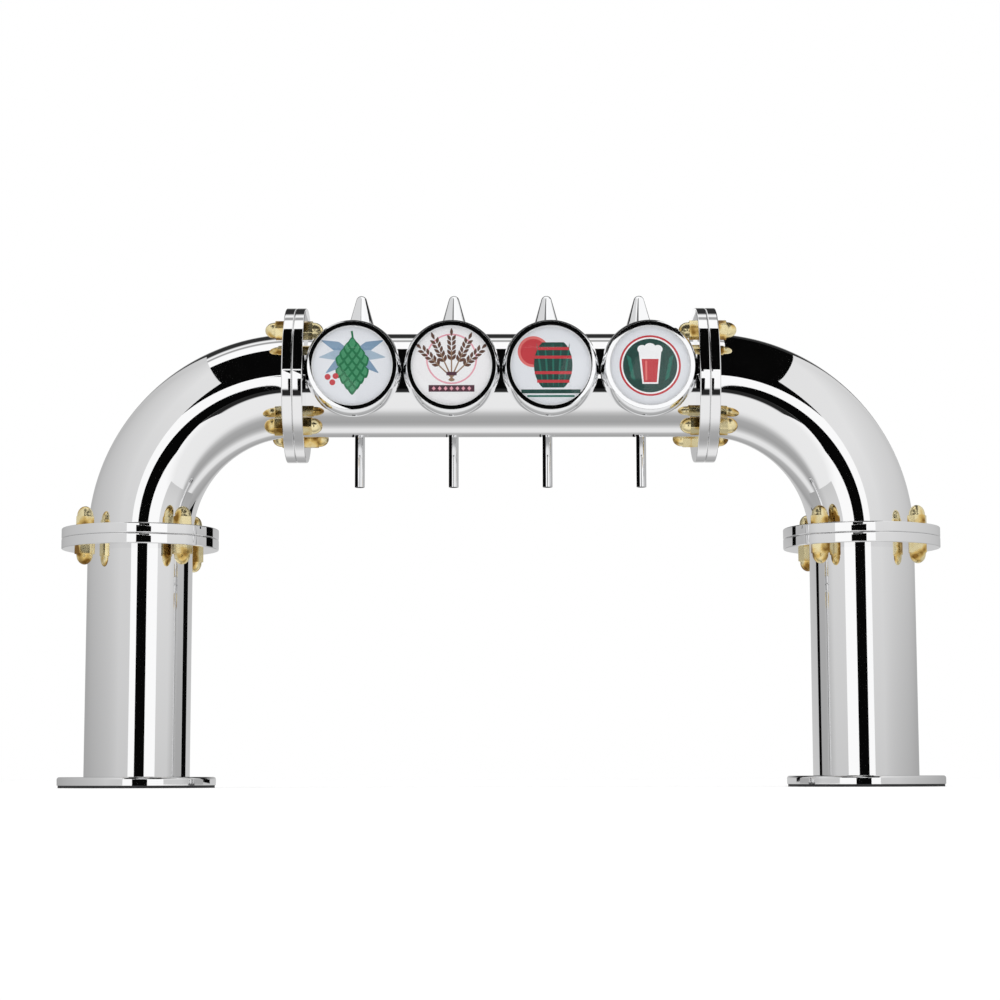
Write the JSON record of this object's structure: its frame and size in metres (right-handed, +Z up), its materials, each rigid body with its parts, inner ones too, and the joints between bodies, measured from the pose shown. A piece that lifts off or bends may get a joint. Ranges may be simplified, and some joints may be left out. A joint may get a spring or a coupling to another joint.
{
  "type": "bridge beer tower",
  "caption": "Polished bridge beer tower: flanged columns and elbows bolted with brass cap nuts, lens medallions facing the guest, lever-worked plunger taps behind.",
  "frame": {"origin": "on the counter, midway between the axes of the two columns", "axes": "+X along the bridge, -Y towards the guest and the medallions, +Y towards the taps, +Z up"},
  "size_m": [0.856, 0.1864, 0.5005],
  "materials": {
    "polished_tube": "mirror-polished stainless tube",
    "polished_flange": "polished stainless plate with turned edges",
    "brass_fastener": "polished brass",
    "black_rubber": "matt black rubber",
    "medallion_chrome": "bright chrome plate",
    "face_print_1": "pale printed disc with green motif",
    "face_print_2": "pale printed disc with brown motif",
    "face_print_3": "pale printed disc with red and dark green motif",
    "face_print_4": "pale printed disc with dark green and red motif",
    "clear_lens": "clear domed lens",
    "tap_chrome": "bright chrome plate on brass",
    "zinc_screw": "plain stainless",
    "line_plastic": "food-grade hose",
    "cooling_pipe": "blue hose"
  },
  "bodies": {
    "frame": {"bridge_tube": "polished_tube", "joint_studs": "brass_fastener", "joint_cap_nuts": "brass_fastener", "medallion_pads": "black_rubber", "medallion_screws": "zinc_screw", "medallion_nuts": "zinc_screw", "tap_shanks": "tap_chrome", "shank_saddles": "tap_chrome", "shank_locknuts": "zinc_screw", "tap_seals": "black_rubber", "coupling_nuts": "tap_chrome", "tap_spouts": "tap_chrome", "lever_pins": "zinc_screw", "beer_lines": "line_plastic", "cooling_line": "cooling_pipe", "left_base_gasket": "black_rubber", "left_base_plate": "polished_flange", "left_column_tube": "polished_tube", "left_column_flange": "polished_flange", "left_elbow_lower_flange": "polished_flange", "left_elbow": "polished_tube", "left_elbow_upper_flange": "polished_flange", "left_bridge_flange": "polished_flange", "right_base_gasket": "black_rubber", "right_base_plate": "polished_flange", "right_column_tube": "polished_tube", "right_column_flange": "polished_flange", "right_elbow_lower_flange": "polished_flange", "right_elbow": "polished_tube", "right_elbow_upper_flange": "polished_flange", "right_bridge_flange": "polished_flange", "medallion_housing_1": "medallion_chrome", "medallion_housing_2": "medallion_chrome", "medallion_housing_3": "medallion_chrome", "medallion_housing_4": "medallion_chrome", "medallion_face_1": "face_print_1", "medallion_face_2": "face_print_2", "medallion_face_3": "face_print_3", "medallion_face_4": "face_print_4", "medallion_lens_1": "clear_lens", "medallion_lens_2": "clear_lens", "medallion_lens_3": "clear_lens", "medallion_lens_4": "clear_lens", "tap_body_1": "tap_chrome", "tap_body_2": "tap_chrome", "tap_body_3": "tap_chrome", "tap_body_4": "tap_chrome"},
    "lever_1": {"tap_lever_1": "tap_chrome", "tap_handle_1": "tap_chrome"},
    "plunger_1": {"tap_plunger_1": "zinc_screw"},
    "lever_2": {"tap_lever_2": "tap_chrome", "tap_handle_2": "tap_chrome"},
    "plunger_2": {"tap_plunger_2": "zinc_screw"},
    "lever_3": {"tap_lever_3": "tap_chrome", "tap_handle_3": "tap_chrome"},
    "plunger_3": {"tap_plunger_3": "zinc_screw"},
    "lever_4": {"tap_lever_4": "tap_chrome", "tap_handle_4": "tap_chrome"},
    "plunger_4": {"tap_plunger_4": "zinc_screw"}
  },
  "joints": [
    {"name": "lever_1_pull", "type": "hinge", "parent": "frame", "child": "lever_1", "pos_m": [-0.1425, 0.0962, 0.4065], "axis": [-1, 0, 0], "range_deg": [0, 30]},
    {"name": "lever_2_pull", "type": "hinge", "parent": "frame", "child": "lever_2", "pos_m": [-0.0475, 0.0962, 0.4065], "axis": [-1, 0, 0], "range_deg": [0, 30]},
    {"name": "lever_3_pull", "type": "hinge", "parent": "frame", "child": "lever_3", "pos_m": [0.0475, 0.0962, 0.4065], "axis": [-1, 0, 0], "range_deg": [0, 30]},
    {"name": "lever_4_pull", "type": "hinge", "parent": "frame", "child": "lever_4", "pos_m": [0.1425, 0.0962, 0.4065], "axis": [-1, 0, 0], "range_deg": [0, 30]},
    {"name": "plunger_1_slide", "type": "slide", "parent": "frame", "child": "plunger_1", "axis": [0, -1, 0], "range_m": [0, 0.0058]},
    {"name": "plunger_2_slide", "type": "slide", "parent": "frame", "child": "plunger_2", "axis": [0, -1, 0], "range_m": [0, 0.0058]},
    {"name": "plunger_3_slide", "type": "slide", "parent": "frame", "child": "plunger_3", "axis": [0, -1, 0], "range_m": [0, 0.0058]},
    {"name": "plunger_4_slide", "type": "slide", "parent": "frame", "child": "plunger_4", "axis": [0, -1, 0], "range_m": [0, 0.0058]}
  ],
  "couplings": [
    {"joint": "plunger_1_slide", "follows": "lever_1_pull", "m_per_rad": 0.010982},
    {"joint": "plunger_2_slide", "follows": "lever_2_pull", "m_per_rad": 0.010982},
    {"joint": "plunger_3_slide", "follows": "lever_3_pull", "m_per_rad": 0.010982},
    {"joint": "plunger_4_slide", "follows": "lever_4_pull", "m_per_rad": 0.010982}
  ]
}
